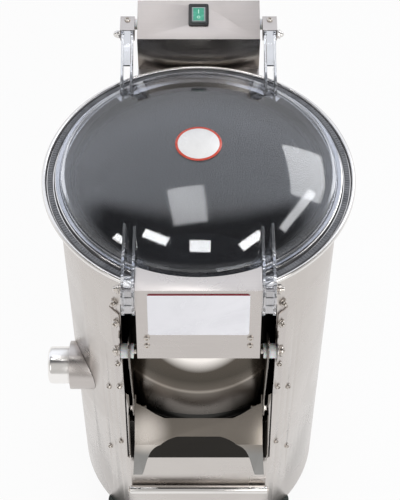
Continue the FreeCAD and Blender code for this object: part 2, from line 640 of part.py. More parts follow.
def rocker_shape():
    """Rocker of the switch, in the frame of the sloping top, resting with its front end up."""
    pts = [V(0, -11.2, 4.5), V(0, 0, 2.4), V(0, 11.2, 2.0), V(0, 11.4, -4.2), V(0, 3, -7.5), V(0, -3, -7.5),
           V(0, -11.4, -1.2)]
    wire = Part.makePolygon(pts + [pts[0]])
    body = Part.Face(wire).extrude(V(17.8, 0, 0))
    body.translate(V(-8.9, 0, 0))
    body = body.fuse(cyl(1.2, 20.4, V(-10.2, 0, -3.5), X_AXIS))
    return body.removeSplitter()


def make_pipes():
    tube = cyl(spout_r, -spout_end_x - 120, V(spout_end_x, spout_y, spout_z), X_AXIS)
    end = [e for e in tube.Edges if abs(e.BoundBox.XMax - spout_end_x) < 0.01 and e.BoundBox.YLength > 10]
    tube = tube.makeFillet(5.5, end)
    tube = tube.cut(cyl(18, 120, V(spout_end_x - 5, spout_y, spout_z), X_AXIS))
    tube = tube.cut(ring(spout_r + 5, spout_r - 0.4, 120, V(spout_neck_x, spout_y, spout_z), X_AXIS))
    nodes["drain_spout"] = tube.cut(cyl(drum_r - drum_t + 0.1, rim_z, V(0, 0, 0)))
    collar = ring(33, spout_r + 0.1, 54, V(-174.5, spout_y, spout_z), X_AXIS)
    nodes["spout_collar"] = collar.cut(cyl(casing_r + gap, rim_z, V(0, 0, 0)))
    n = V(math.cos(math.radians(35)), math.sin(math.radians(35)), 0)
    z = rim_z - 45
    def at(r):
        return V(n.x * r, n.y * r, z)
    hole = cyl(9.7, 60, at(145), n)
    for name in ("outer_casing", "inner_drum", "abrasive_lining"):
        nodes[name] = nodes[name].cut(hole)
    pipe = fused([cyl(9.5, 61.2, at(150.8), n), ring(15, 9.4, 4, at(casing_r + 2.2), n)])
    nodes["water_inlet"] = pipe.cut(cyl(6.4, 80, at(140), n))


for build in (make_casing, make_rim, make_drum, make_disc, make_drive, make_feet, make_lid,
              make_lid_hardware, make_latch, make_door, make_guard, make_edges, make_chute, make_box,
              make_pipes):
    build()

os.makedirs("parts", exist_ok=True)
for name, shape in nodes.items():
    print(name, len(shape.Solids), round(shape.Volume), shape.isValid())
    shape.exportStep("parts/" + name + ".step")
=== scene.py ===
import math

import bmesh
import bpy
from mathutils import Matrix, Vector


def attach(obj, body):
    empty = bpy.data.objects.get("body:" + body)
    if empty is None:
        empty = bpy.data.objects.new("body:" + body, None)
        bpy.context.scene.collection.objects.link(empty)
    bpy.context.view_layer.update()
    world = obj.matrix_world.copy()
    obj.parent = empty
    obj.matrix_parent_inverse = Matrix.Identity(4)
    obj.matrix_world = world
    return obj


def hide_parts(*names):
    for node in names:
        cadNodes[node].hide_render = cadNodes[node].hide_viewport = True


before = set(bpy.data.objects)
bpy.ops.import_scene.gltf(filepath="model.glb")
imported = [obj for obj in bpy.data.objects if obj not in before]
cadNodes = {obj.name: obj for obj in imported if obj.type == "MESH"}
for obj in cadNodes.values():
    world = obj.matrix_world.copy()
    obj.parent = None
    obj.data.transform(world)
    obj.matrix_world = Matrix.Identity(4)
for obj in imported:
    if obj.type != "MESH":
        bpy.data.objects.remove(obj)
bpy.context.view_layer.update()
scene = bpy.context.scene
mm = 0.001
rimTop = 640.0  # height of the rim above the floor, in mm


# Mesh helpers

def linkPiece(name, mesh):
    piece = bpy.data.objects.new(name, mesh)
    scene.collection.objects.link(piece)
    return piece


def smoothMesh(mesh, angle=32.0):
    for face in mesh.polygons:
        face.use_smooth = True
    mesh.set_sharp_from_angle(angle=math.radians(angle))


def bakeModifiers(piece):
    graph = bpy.context.evaluated_depsgraph_get()
    mesh = bpy.data.meshes.new_from_object(piece.evaluated_get(graph))
    piece.modifiers.clear()
    piece.data = mesh
    return piece


def giveMaterials(mesh, *materials):
    mesh.materials.clear()
    for material in materials:
        mesh.materials.append(material)


def settle(piece, body, nodeNames=()):
    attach(piece, body)
    if nodeNames:
        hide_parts(*nodeNames)
    return piece


weld = {"distance": 3e-6, "flatAngle": math.radians(0.5)}  # distance in metres


def mergedCopy(nodeName, name):
    mesh = cadNodes[nodeName].data.copy()
    mesh.name = name
    work = bmesh.new()
    work.from_mesh(mesh)
    bmesh.ops.remove_doubles(work, verts=work.verts, dist=weld["distance"])
    bmesh.ops.dissolve_limit(work, angle_limit=weld["flatAngle"], verts=work.verts, edges=work.edges)
    work.to_mesh(mesh)
    work.free()
    return linkPiece(name, mesh)


edgeAngle = 30.0  # sharper folds than this are rounded, in degrees


def foldedSheet(nodeName, name, body, face, edge, rounding, segments):
    piece = mergedCopy(nodeName, name)
    giveMaterials(piece.data, face, edge)
    for polygon in piece.data.polygons:
        polygon.material_index = 0
    bevel = piece.modifiers.new("edge", "BEVEL")
    bevel.width = rounding * mm
    bevel.segments = segments
    bevel.limit_method = "ANGLE"
    bevel.angle_limit = math.radians(edgeAngle)
    bevel.use_clamp_overlap = True
    bevel.material = 1
    bakeModifiers(piece)
    smoothMesh(piece.data)
    return settle(piece, body, [nodeName])


def paintFaces(piece, index, material, chosen):
    while len(piece.data.materials) <= index:
        piece.data.materials.append(material)
    for polygon in piece.data.polygons:
        if polygon.material_index == 0 and chosen(polygon.center / mm, polygon.normal):
            polygon.material_index = index


def turnedMesh(name, profile, steps=192, closed=True):
    mesh = bpy.data.meshes.new(name)
    work = bmesh.new()
    rings = []
    for r, z in profile:
        if r < 1e-6:
            rings.append([work.verts.new((0, 0, z * mm))])
            continue
        rings.append([work.verts.new((r * mm * math.cos(2 * math.pi * i / steps),
                                      r * mm * math.sin(2 * math.pi * i / steps), z * mm))
                      for i in range(steps)])
    pairs = list(zip(rings, rings[1:]))
    if closed:
        pairs.append((rings[-1], rings[0]))
    for low, high in pairs:
        for i in range(steps):
            j = (i + 1) % steps
            kept = []
            for v in (low[i % len(low)], low[j % len(low)], high[j % len(high)], high[i % len(high)]):
                if v not in kept:
                    kept.append(v)
            if len(kept) > 2:
                work.faces.new(kept)
    bmesh.ops.recalc_face_normals(work, faces=work.faces)
    work.to_mesh(mesh)
    work.free()
    return mesh


def hullMesh(name, points):
    mesh = bpy.data.meshes.new(name)
    work = bmesh.new()
    for p in points:
        work.verts.new([c * mm for c in p])
    bmesh.ops.convex_hull(work, input=work.verts)
    bmesh.ops.dissolve_limit(work, angle_limit=0.01, verts=work.verts, edges=work.edges)
    bmesh.ops.recalc_face_normals(work, faces=work.faces)
    work.to_mesh(mesh)
    work.free()
    return mesh


def joinMeshes(name, meshes):
    joined = bpy.data.meshes.new(name)
    work = bmesh.new()
    for mesh in meshes:
        work.from_mesh(mesh)
    work.to_mesh(joined)
    work.free()
    return joined


def axisTurn(direction):
    return Vector((0, 0, 1)).rotation_difference(Vector(direction)).to_matrix().to_4x4()


def placeAt(x, y, z, direction=(0, 0, 1)):
    return Matrix.Translation((x * mm, y * mm, z * mm)) @ axisTurn(direction)


# Shader node groups

def startGroup(name, inputs, outputs):
    group = bpy.data.node_groups.new(name, "ShaderNodeTree")
    for label, kind, value in inputs:
        socket = group.interface.new_socket(label, in_out="INPUT", socket_type=kind)
        if value is not None:
            socket.default_value = value
    for label, kind in outputs:
        group.interface.new_socket(label, in_out="OUTPUT", socket_type=kind)
    return group, group.nodes.new("NodeGroupInput"), group.nodes.new("NodeGroupOutput")


def addNode(tree, kind, **settings):
    node = tree.nodes.new(kind)
    for key, value in settings.items():
        if key in node.bl_rna.properties:
            setattr(node, key, value)
        else:
            node.inputs[key].default_value = value
    return node


def linkAll(tree, *wires):
    for source, output, target, socket in wires:
        tree.links.new(source.outputs[output], target.inputs[socket])


def mathOf(tree, operation, *values):
    node = addNode(tree, "ShaderNodeMath", operation=operation)
    for socket, value in zip(node.inputs, values):
        if isinstance(value, (int, float)):
            socket.default_value = value
        else:
            tree.links.new(value, socket)
    return node.outputs[0]


def vectorOf(tree, operation, first, second=(0, 0, 0)):
    node = addNode(tree, "ShaderNodeVectorMath", operation=operation)
    tree.links.new(first, node.inputs[0])
    node.inputs[1].default_value = second
    return node.outputs


def splitOf(tree, vector):
    split = addNode(tree, "ShaderNodeSeparateXYZ")
    tree.links.new(vector, split.inputs[0])
    return split.outputs


def shareOf(tree, value, low, high, interpolation="SMOOTHSTEP"):
    share = addNode(tree, "ShaderNodeMapRange", interpolation_type=interpolation)
    share.inputs["From Min"].default_value = low
    share.inputs["From Max"].default_value = high
    tree.links.new(value, share.inputs["Value"])
    return share.outputs["Result"]


def insideBand(tree, value, low, high):
    return mathOf(tree, "COMPARE", value, (low + high) / 2 * mm, (high - low) / 2 * mm)


def mixTones(tree, factor, first, second):
    blend = addNode(tree, "ShaderNodeMix", data_type="RGBA")
    tree.links.new(factor, blend.inputs[0])
    for socket, tone in ((blend.inputs[6], first), (blend.inputs[7], second)):
        if isinstance(tone, tuple):
            socket.default_value = (*tone, 1)
        else:
            tree.links.new(tone, socket)
    return blend.outputs[2]


def buildBrushGrain():
    group, given, out = startGroup(
        "brushGrain",
        [("Vector", "NodeSocketVector", None), ("Stretch", "NodeSocketVector", (20, 900, 900)),
         ("Cloud Scale", "NodeSocketFloat", 6.0)],
        [("Tone", "NodeSocketFloat"), ("Height", "NodeSocketFloat"), ("Cloud", "NodeSocketFloat")])
    stretch = addNode(group, "ShaderNodeVectorMath", operation="MULTIPLY")
    streak = addNode(group, "ShaderNodeTexNoise", Scale=1.0, Detail=3.0, Roughness=0.65)
    cloud = addNode(group, "ShaderNodeTexNoise", Detail=3.0, Roughness=0.55)
    linkAll(group, (given, "Vector", stretch, 0), (given, "Stretch", stretch, 1),
            (stretch, 0, streak, "Vector"), (given, "Vector", cloud, "Vector"),
            (given, "Cloud Scale", cloud, "Scale"), (streak, "Fac", out, "Height"), (cloud, "Fac", out, "Cloud"))
    group.links.new(shareOf(group, streak.outputs["Fac"], 0.3, 0.7, "LINEAR"), out.inputs["Tone"])
    return group


def buildHandMarks():
    group, given, out = startGroup(
        "handMarks",
        [("Vector", "NodeSocketVector", None), ("Scale", "NodeSocketFloat", 9.0),
         ("Clean", "NodeSocketFloat", 0.3), ("Marked", "NodeSocketFloat", 0.45)],
        [("Roughness", "NodeSocketFloat"), ("Mask", "NodeSocketFloat")])
    warp = addNode(group, "ShaderNodeTexNoise", Detail=5.0, Roughness=0.6, Distortion=0.8)
    rough = addNode(group, "ShaderNodeMapRange")
    mask = shareOf(group, warp.outputs["Fac"], 0.42, 0.68)
    group.links.new(mask, rough.inputs["Value"])
    group.links.new(mask, out.inputs["Mask"])
    linkAll(group, (given, "Vector", warp, "Vector"), (given, "Scale", warp, "Scale"),
            (given, "Clean", rough, "To Min"), (given, "Marked", rough, "To Max"),
            (rough, "Result", out, "Roughness"))
    return group


def buildGrit():
    group, given, out = startGroup(
        "gritGrain",
        [("Vector", "NodeSocketVector", None), ("Scale", "NodeSocketFloat", 500.0),
         ("Dark", "NodeSocketColor", (0.02, 0.02, 0.02, 1)), ("Light", "NodeSocketColor", (0.1, 0.1, 0.1, 1))],
        [("Color", "NodeSocketColor"), ("Height", "NodeSocketFloat")])
    cells = addNode(group, "ShaderNodeTexVoronoi")
    linkAll(group, (given, "Vector", cells, "Vector"), (given, "Scale", cells, "Scale"),
            (cells, "Distance", out, "Height"))
    tone = mixTones(group, cells.outputs["Distance"], given.outputs["Light"], given.outputs["Dark"])
    group.links.new(tone, out.inputs["Color"])
    return group


def buildCurvedLevel():
    group, given, out = startGroup(
        "curvedLevel",
        [("Vector", "NodeSocketVector", None), ("Level", "NodeSocketFloat", 0.4),
         ("Curve", "NodeSocketFloat", 2.7), ("Low", "NodeSocketFloat", -0.06), ("High", "NodeSocketFloat", 0.06)],
        [("Share", "NodeSocketFloat")])
    x, y, z = splitOf(group, given.outputs["Vector"])
    bow = mathOf(group, "MULTIPLY", mathOf(group, "MULTIPLY", x, x), given.outputs["Curve"])
    height = mathOf(group, "SUBTRACT", z, bow)
    share = addNode(group, "ShaderNodeMapRange")
    group.links.new(mathOf(group, "SUBTRACT", height, given.outputs["Level"]), share.inputs["Value"])
    linkAll(group, (given, "Low", share, "From Min"), (given, "High", share, "From Max"),
            (share, "Result", out, "Share"))
    return group


brushGrain = buildBrushGrain()
handMarks = buildHandMarks()
gritGrain = buildGrit()
curvedLevel = buildCurvedLevel()


# Materials

def startMaterial(name):
    material = bpy.data.materials.new(name)
    material.use_nodes = True
    tree = material.node_tree
    tree.nodes.clear()
    out = addNode(tree, "ShaderNodeOutputMaterial")
    shader = addNode(tree, "ShaderNodeBsdfPrincipled")
    tree.links.new(shader.outputs[0], out.inputs["Surface"])
    place = addNode(tree, "ShaderNodeTexCoord")
    return material, tree, shader, place.outputs["Object"]


def useGroup(tree, group, place, **values):
    node = tree.nodes.new("ShaderNodeGroup")
    node.node_tree = group
    tree.links.new(place, node.inputs["Vector"])
    for key, value in values.items():
        node.inputs[key.replace("_", " ")].default_value = value
    return node


def finishShader(tree, shader, tone, marks, metallic=0.0):
    tree.links.new(tone, shader.inputs["Base Color"])
    tree.links.new(marks.outputs["Roughness"], shader.inputs["Roughness"])
    shader.inputs["Metallic"].default_value = metallic


def addBump(tree, shader, height, strength, distance):
    bump = addNode(tree, "ShaderNodeBump", Strength=strength, Distance=distance)
    tree.links.new(height, bump.inputs["Height"])
    tree.links.new(bump.outputs["Normal"], shader.inputs["Normal"])


brushed = {"cloud": 6.0, "streakShare": 0.35, "bump": 0.05, "depth": 0.0004}


def steelMaterial(name, pale, deep, clean, marked, stretch):
    material, tree, shader, place = startMaterial(name)
    grain = useGroup(tree, brushGrain, place, Stretch=stretch, Cloud_Scale=brushed["cloud"])
    marks = useGroup(tree, handMarks, place, Clean=clean, Marked=marked)
    share = mathOf(tree, "MULTIPLY_ADD", grain.outputs["Tone"], brushed["streakShare"], grain.outputs["Cloud"])
    finishShader(tree, shader, mixTones(tree, share, pale, deep), marks, 1.0)
    addBump(tree, shader, grain.outputs["Height"], brushed["bump"], brushed["depth"])
    return material


steelLook = {  # pale tone, deep tone, clean roughness, marked roughness, streak frequency per metre
    "casing": ((0.67, 0.635, 0.605), (0.56, 0.525, 0.50), 0.26, 0.36, (14, 14, 1400)),
    "panel": ((0.63, 0.59, 0.565), (0.53, 0.495, 0.475), 0.26, 0.36, (18, 1500, 1500)),
    # The guard steel is a darker copy, painted shade for the recessed levers and chute cheeks.
    "guard": ((0.26, 0.235, 0.21), (0.18, 0.16, 0.14), 0.20, 0.30, (24, 1300, 1300)),
    "boxTop": ((0.55, 0.51, 0.50), (0.46, 0.43, 0.42), 0.36, 0.44, (18, 1500, 1500)),
    # Darker copy of the box steel, painted shade on the box's front faces.
    "boxFrontPaintedShade": ((0.42, 0.39, 0.36), (0.32, 0.295, 0.27), 0.22, 0.28, (18, 1500, 1500)),
    "shaded": ((0.034, 0.031, 0.027), (0.020, 0.018, 0.016), 0.24, 0.34, (24, 1300, 1300)),
    # Near-black steel, painted shade for unlit inside faces.
    "insidePaintedShade": ((0.035, 0.033, 0.03), (0.02, 0.02, 0.018), 0.40, 0.50, (24, 900, 900)),
    "edge": ((0.93, 0.91, 0.89), (0.82, 0.80, 0.78), 0.16, 0.24, (60, 300, 300)),
    "polished": ((0.86, 0.84, 0.82), (0.74, 0.72, 0.70), 0.10, 0.20, (40, 700, 700)),
    "plated": ((0.74, 0.70, 0.66), (0.50, 0.46, 0.42), 0.12, 0.22, (300, 300, 900)),
    "spout": ((0.95, 0.93, 0.91), (0.86, 0.84, 0.82), 0.16, 0.26, (40, 700, 700)),
    "cast": ((0.60, 0.60, 0.60), (0.48, 0.48, 0.48), 0.42, 0.55, (400, 400, 400)),
}
steel = {name: steelMaterial(name + "Steel", *look) for name, look in steelLook.items()}

moulded = {"marks": 35.0, "grain": 900.0, "detail": 2.0, "bump": 0.08, "depth": 0.0003, "scatterDepth": 0.004}


def mouldedMaterial(name, pale, deep, clean, marked, scatter=0.0):
    material, tree, shader, place = startMaterial(name)
    marks = useGroup(tree, handMarks, place, Scale=moulded["marks"], Clean=clean, Marked=marked)
    finishShader(tree, shader, mixTones(tree, marks.outputs["Mask"], pale, deep), marks)
    if scatter:
        shader.inputs["Subsurface Weight"].default_value = scatter
        shader.inputs["Subsurface Scale"].default_value = moulded["scatterDepth"]
    fine = addNode(tree, "ShaderNodeTexNoise", Scale=moulded["grain"], Detail=moulded["detail"])
    tree.links.new(place, fine.inputs["Vector"])
    addBump(tree, shader, fine.outputs["Fac"], moulded["bump"], moulded["depth"])
    return material


whiteNylon = mouldedMaterial("whiteNylon", (0.80, 0.82, 0.82), (0.70, 0.72, 0.72), 0.35, 0.5, scatter=0.25)
blackMoulding = mouldedMaterial("blackMoulding", (0.018, 0.018, 0.02), (0.03, 0.03, 0.032), 0.28, 0.42)
footRubber = mouldedMaterial("footRubber", (0.020, 0.028, 0.024), (0.035, 0.045, 0.040), 0.5, 0.7)
beltRubber = mouldedMaterial("beltRubber", (0.02, 0.02, 0.02), (0.035, 0.035, 0.035), 0.55, 0.75)
bandRubber = mouldedMaterial("bandRubber", (0.20, 0.205, 0.22), (0.13, 0.135, 0.15), 0.5, 0.7)
motorPaint = mouldedMaterial("motorPaint", (0.05, 0.08, 0.11), (0.07, 0.10, 0.13), 0.35, 0.5)
print("materials: steel", len(steel), "and mouldings")

clearLook = {"pale": (0.80, 0.82, 0.87), "deep": (0.74, 0.77, 0.83), "marks": 5.0, "clean": 0.02, "marked": 0.07,
             "transmission": 0.99, "index": 1.68}


def buildClearPlastic():
    look = clearLook
    material, tree, shader, place = startMaterial("clearLidPlastic")
    marks = useGroup(tree, handMarks, place, Scale=look["marks"], Clean=look["clean"], Marked=look["marked"])
    finishShader(tree, shader, mixTones(tree, marks.outputs["Mask"], look["pale"], look["deep"]), marks)
    shader.inputs["Transmission Weight"].default_value = look["transmission"]
    shader.inputs["IOR"].default_value = look["index"]
    return material


gritLook = {"marks": 12.0, "clean": 0.55, "marked": 0.8, "depth": 0.0012}


def buildGritMaterial(name, dark, light, scale, strength):
    look = gritLook
    material, tree, shader, place = startMaterial(name)
    grit = useGroup(tree, gritGrain, place, Scale=scale, Dark=(*dark, 1), Light=(*light, 1))
    marks = useGroup(tree, handMarks, place, Scale=look["marks"], Clean=look["clean"], Marked=look["marked"])
    finishShader(tree, shader, grit.outputs["Color"], marks)
    addBump(tree, shader, grit.outputs["Height"], strength, look["depth"])
    return material


# Door plate colour is painted light: a ramp along a bowed level paints a highlight arc with painted shade bands
# above and below it.
doorPaintedReflectionLook = {
    "paintedHighlightArc": {"level": 394.0, "curve": 2.7, "reach": 60.0},
    # The pale band near the top of the door is a painted reflection; light is its tone.
    "pale": {"level": 437.0, "curve": 9.6, "reach": 26.0},
    "stops": ((0.0, (0.17, 0.15, 0.13)), (0.30, (0.14, 0.12, 0.105)), (0.46, (0.17, 0.15, 0.13)),
              (0.50, (0.38, 0.34, 0.30)), (0.54, (0.14, 0.12, 0.10)), (0.70, (0.07, 0.06, 0.048)),
              (1.0, (0.10, 0.085, 0.07))),
    "light": (1.0, 0.95, 0.90), "clean": 0.26, "marked": 0.36,
}


def buildDoorPaintedReflection():
    look = doorPaintedReflectionLook
    material, tree, shader, place = startMaterial("doorSteelPaintedReflection")
    marks = useGroup(tree, handMarks, place, Clean=look["clean"], Marked=look["marked"])
    reach = look["paintedHighlightArc"]["reach"] * mm
    paintedHighlightArc = useGroup(tree, curvedLevel, place, Level=look["paintedHighlightArc"]["level"] * mm,
                      Curve=look["paintedHighlightArc"]["curve"], Low=-reach, High=reach)
    pale = useGroup(tree, curvedLevel, place, Level=look["pale"]["level"] * mm,
                    Curve=look["pale"]["curve"], Low=0.0, High=look["pale"]["reach"] * mm)
    ramp = addNode(tree, "ShaderNodeValToRGB")
    stops = ramp.color_ramp.elements
    while len(stops) < len(look["stops"]):
        stops.new(0.5)
    for stop, (position, tone) in zip(stops, look["stops"]):
        stop.position = position
        stop.color = (*tone, 1)
    # The ramp gives the painted highlight arc and the painted shade bands.
    linkAll(tree, (paintedHighlightArc, "Share", ramp, "Fac"))
    # Mixes in the pale band near the top as a painted reflection.
    tone = mixTones(tree, pale.outputs["Share"], ramp.outputs["Color"], look["light"])
    finishShader(tree, shader, tone, marks, 1.0)
    return material


# Guard sheet colour is painted light: a warm spot is a painted lamp reflection, the dark and deep tones are painted
# shade, and the legs get their own painted-light tone.
guardPaintedLightLook = {"spot": (-68.0, -170.0, 322.0), "inside": 6.0, "outside": 38.0, "paintedLampSpot": (1.0, 0.93, 0.86),
             "dark": (0.28, 0.25, 0.22), "deep": (0.19, 0.17, 0.145), "leg": (0.25, 0.245, 0.235),
             "legTop": 306.0, "legBlend": 12.0, "stretch": (24, 1300, 1300), "cloud": 14.0,
             "clean": 0.24, "marked": 0.34}


def buildGuardPaintedLight():
    look = guardPaintedLightLook
    material, tree, shader, place = startMaterial("guardSteel")
    grain = useGroup(tree, brushGrain, place, Stretch=look["stretch"], Cloud_Scale=look["cloud"])
    marks = useGroup(tree, handMarks, place, Clean=look["clean"], Marked=look["marked"])
    # Below this level the front-facing legs take their own tone, painted light.
    leg = useGroup(tree, curvedLevel, place, Level=look["legTop"] * mm, Curve=0.0,
                   Low=look["legBlend"] * mm, High=-look["legBlend"] * mm)
    # Distance from the centre of the painted lamp reflection spot.
    away = vectorOf(tree, "DISTANCE", place, [c * mm for c in look["spot"]])["Value"]
    near = shareOf(tree, away, look["outside"] * mm, look["inside"] * mm)
    # The dark and deep tones are painted shade of the recessed guard sheet.
    tone = mixTones(tree, grain.outputs["Cloud"], look["dark"], look["deep"])
    tone = mixTones(tree, leg.outputs["Share"], tone, look["leg"])
    # Mixes in the warm spot, a painted lamp reflection.
    finishShader(tree, shader, mixTones(tree, near, tone, look["paintedLampSpot"]), marks, 1.0)
    addBump(tree, shader, grain.outputs["Height"], brushed["bump"], brushed["depth"])
    return material


labelLook = {"paper": (0.86, 0.86, 0.90), "worn": (0.80, 0.80, 0.84), "stripe": (0.22, 0.012, 0.022),
             "stripeFrom": 648.6, "marks": 14.0, "clean": 0.22, "marked": 0.32}


def buildLabelPrint():
    look = labelLook
    material, tree, shader, place = startMaterial("labelPrint")
    marks = useGroup(tree, handMarks, place, Scale=look["marks"], Clean=look["clean"], Marked=look["marked"])
    above = mathOf(tree, "GREATER_THAN", splitOf(tree, place)["Z"], look["stripeFrom"] * mm)
    paper = mixTones(tree, marks.outputs["Mask"], look["paper"], look["worn"])
    finishShader(tree, shader, mixTones(tree, above, paper, look["stripe"]), marks)
    return material


stickerLook = {"white": (0.88, 0.87, 0.86), "grey": (0.80, 0.79, 0.78), "ring": (0.62, 0.065, 0.035),
               "ringFrom": 25.0, "ringTo": 30.0, "marks": 20.0, "clean": 0.25, "marked": 0.4}


def buildStickerPrint():
    look = stickerLook
    material, tree, shader, place = startMaterial("stickerPrint")
    marks = useGroup(tree, handMarks, place, Scale=look["marks"], Clean=look["clean"], Marked=look["marked"])
    level = vectorOf(tree, "MULTIPLY", place, (1, 1, 0))["Vector"]
    ring = insideBand(tree, vectorOf(tree, "LENGTH", level)["Value"], look["ringFrom"], look["ringTo"])
    white = mixTones(tree, marks.outputs["Mask"], look["white"], look["grey"])
    finishShader(tree, shader, mixTones(tree, ring, white, look["ring"]), marks)
    return material


rockerLook = {"centre": (0.0, 226.9, 694.5), "slope": 20.0, "lensHalf": 6.9, "lensBack": 9.4, "lensFront": -10.2,
              "barHalf": 0.55, "barFrom": 1.2, "barTo": 7.0, "ringAt": -4.6, "ringRadius": 1.7, "ringHalf": 0.4,
              "green": (0.030, 0.27, 0.17), "paleGreen": (0.05, 0.36, 0.24), "frame": (0.26, 0.31, 0.31),
              "sign": (0.55, 0.85, 0.72), "glow": (0.01, 0.20, 0.12), "glowStrength": 0.3, "coat": 0.4,
              "marks": 60.0, "clean": 0.18, "marked": 0.3}


def buildRockerPlastic():
    look = rockerLook
    material, tree, shader, place = startMaterial("rockerPlastic")
    marks = useGroup(tree, handMarks, place, Scale=look["marks"], Clean=look["clean"], Marked=look["marked"])
    flat = addNode(tree, "ShaderNodeMapping", vector_type="TEXTURE")
    flat.inputs["Location"].default_value = [c * mm for c in look["centre"]]
    flat.inputs["Rotation"].default_value = (math.radians(look["slope"]), 0, 0)
    tree.links.new(place, flat.inputs["Vector"])
    x, y, z = splitOf(tree, flat.outputs["Vector"])
    lens = mathOf(tree, "MULTIPLY", insideBand(tree, x, -look["lensHalf"], look["lensHalf"]),
                  insideBand(tree, y, look["lensFront"], look["lensBack"]))
    bar = mathOf(tree, "MULTIPLY", insideBand(tree, x, -look["barHalf"], look["barHalf"]),
                 insideBand(tree, y, look["barFrom"], look["barTo"]))
    level = vectorOf(tree, "MULTIPLY", flat.outputs["Vector"], (1, 1, 0))["Vector"]
    away = vectorOf(tree, "DISTANCE", level, (0, look["ringAt"] * mm, 0))["Value"]
    ring = insideBand(tree, away, look["ringRadius"] - look["ringHalf"], look["ringRadius"] + look["ringHalf"])
    green = mixTones(tree, marks.outputs["Mask"], look["green"], look["paleGreen"])
    tone = mixTones(tree, lens, look["frame"], green)
    tone = mixTones(tree, mathOf(tree, "MAXIMUM", bar, ring), tone, look["sign"])
    finishShader(tree, shader, tone, marks)
    tree.links.new(mixTones(tree, lens, (0, 0, 0), look["glow"]), shader.inputs["Emission Color"])
    shader.inputs["Emission Strength"].default_value = look["glowStrength"]
    shader.inputs["Coat Weight"].default_value = look["coat"]
    return material


clearLidPlastic = buildClearPlastic()
discGrit = buildGritMaterial("discGrit", (0.028, 0.029, 0.033), (0.075, 0.077, 0.085), 420.0, 0.8)
liningGrit = buildGritMaterial("liningGrit", (0.018, 0.019, 0.022), (0.05, 0.052, 0.058), 520.0, 0.7)
doorSteelPaintedReflection = buildDoorPaintedReflection()
guardSteel = buildGuardPaintedLight()
labelPrint = buildLabelPrint()
stickerPrint = buildStickerPrint()
rockerPlastic = buildRockerPlastic()
print("materials: lid, print, switch and grit")


# Geometry Nodes for what repeats

def startTree(name, inputs):
    tree = bpy.data.node_groups.new(name, "GeometryNodeTree")
    for label, kind, value in (("Geometry", "NodeSocketGeometry", None), *inputs):
        socket = tree.interface.new_socket(label, in_out="INPUT", socket_type=kind)
        if value is not None:
            socket.default_value = value
    tree.interface.new_socket("Geometry", in_out="OUTPUT", socket_type="NodeSocketGeometry")
    return (tree, tree.nodes.new("NodeGroupInput"), tree.nodes.new("NodeGroupOutput"),
            tree.nodes.new("GeometryNodeInstanceOnPoints"), tree.nodes.new("FunctionNodeEulerToRotation"),
            tree.nodes.new("GeometryNodeRealizeInstances"), tree.nodes.new("GeometryNodeSetMaterial"))


def buildPlacerTree():
    tree, given, out, spread, toTurn, real, finish = startTree(
        "placeHardware", (("Hardware", "NodeSocketObject", None), ("Size", "NodeSocketFloat", 1.0),
                          ("Finish", "NodeSocketMaterial", None)))
    info = tree.nodes.new("GeometryNodeObjectInfo")
    turn = tree.nodes.new("GeometryNodeInputNamedAttribute")
    turn.data_type = "FLOAT_VECTOR"
    turn.inputs["Name"].default_value = "turn"
    linkAll(tree, (given, "Geometry", spread, "Points"), (given, "Hardware", info, "Object"),
            (info, "Geometry", spread, "Instance"), (turn, "Attribute", toTurn, "Euler"),
            (toTurn, "Rotation", spread, "Rotation"), (given, "Size", spread, "Scale"),
            (spread, "Instances", real, "Geometry"), (real, "Geometry", finish, "Geometry"),
            (given, "Finish", finish, "Material"), (finish, "Geometry", out, "Geometry"))
    return tree


def buildRibTree():
    tree, given, out, spread, toTurn, real, finish = startTree(
        "ringRibs", (("Count", "NodeSocketInt", 240), ("Radius", "NodeSocketFloat", 0.181),
                     ("Height", "NodeSocketFloat", 0.64), ("Rib Size", "NodeSocketVector", (0.006, 0.0012, 0.0012)),
                     ("Finish", "NodeSocketMaterial", None)))
    circle = tree.nodes.new("GeometryNodeMeshCircle")
    lift = tree.nodes.new("ShaderNodeCombineXYZ")
    raised = tree.nodes.new("GeometryNodeTransform")
    rib = tree.nodes.new("GeometryNodeMeshCube")
    number = tree.nodes.new("GeometryNodeInputIndex")
    around = tree.nodes.new("ShaderNodeCombineXYZ")
    join = tree.nodes.new("GeometryNodeJoinGeometry")
    share = mathOf(tree, "DIVIDE", number.outputs[0], given.outputs["Count"])
    tree.links.new(mathOf(tree, "MULTIPLY", share, 2 * math.pi), around.inputs["Z"])
    linkAll(tree, (given, "Count", circle, "Vertices"), (given, "Radius", circle, "Radius"),
            (given, "Height", lift, "Z"), (circle, "Mesh", raised, "Geometry"), (lift, 0, raised, "Translation"),
            (raised, "Geometry", spread, "Points"), (given, "Rib Size", rib, "Size"),
            (rib, "Mesh", spread, "Instance"), (around, 0, toTurn, "Euler"),
            (toTurn, "Rotation", spread, "Rotation"), (spread, "Instances", join, "Geometry"),
            (given, "Geometry", join, "Geometry"), (join, "Geometry", real, "Geometry"),
            (real, "Geometry", finish, "Geometry"), (given, "Finish", finish, "Material"),
            (finish, "Geometry", out, "Geometry"))
    return tree


placerTree = buildPlacerTree()
ribTree = buildRibTree()


def runTree(piece, tree, values):
    modifier = piece.modifiers.new("nodes", "NODES")
    modifier.node_group = tree
    for socket in tree.interface.items_tree:
        if socket.in_out == "INPUT" and socket.name in values:
            modifier[socket.identifier] = values[socket.name]
    return bakeModifiers(piece)


